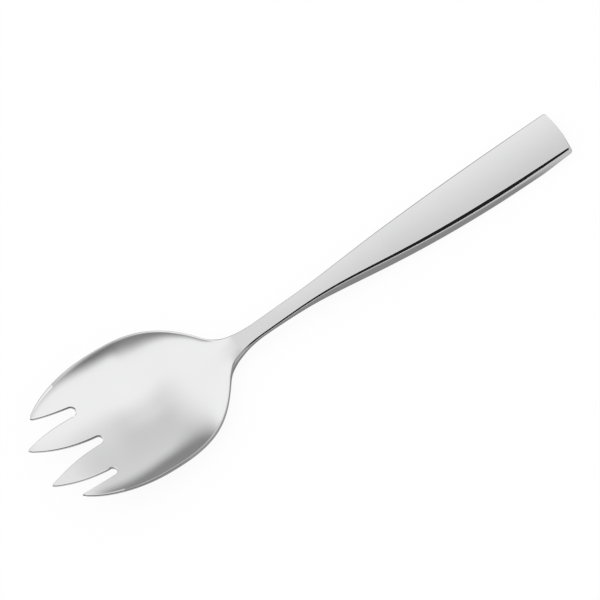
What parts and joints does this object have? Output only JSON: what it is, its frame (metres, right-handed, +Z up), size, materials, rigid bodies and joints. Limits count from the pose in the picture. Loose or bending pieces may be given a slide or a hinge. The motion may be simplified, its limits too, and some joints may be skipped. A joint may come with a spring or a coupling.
{
  "type": "salad fork",
  "caption": "Broad shallow-bowled salad serving fork in polished stainless steel, with short pointed tines, a thin neck and a flat-topped handle that widens to its end.",
  "frame": {"origin": "on the table, under the middle of the fork's overall length and width", "axes": "+X along the fork from the tine tips to the handle's end, +Y across its width, +Z up out of the bowl"},
  "size_m": [0.2458, 0.0672, 0.0117],
  "materials": {
    "stainless_steel": "bright polished handle, softer polish in the bowl"
  },
  "bodies": {
    "root": {"salad_fork": "stainless_steel"}
  },
  "joints": []
}
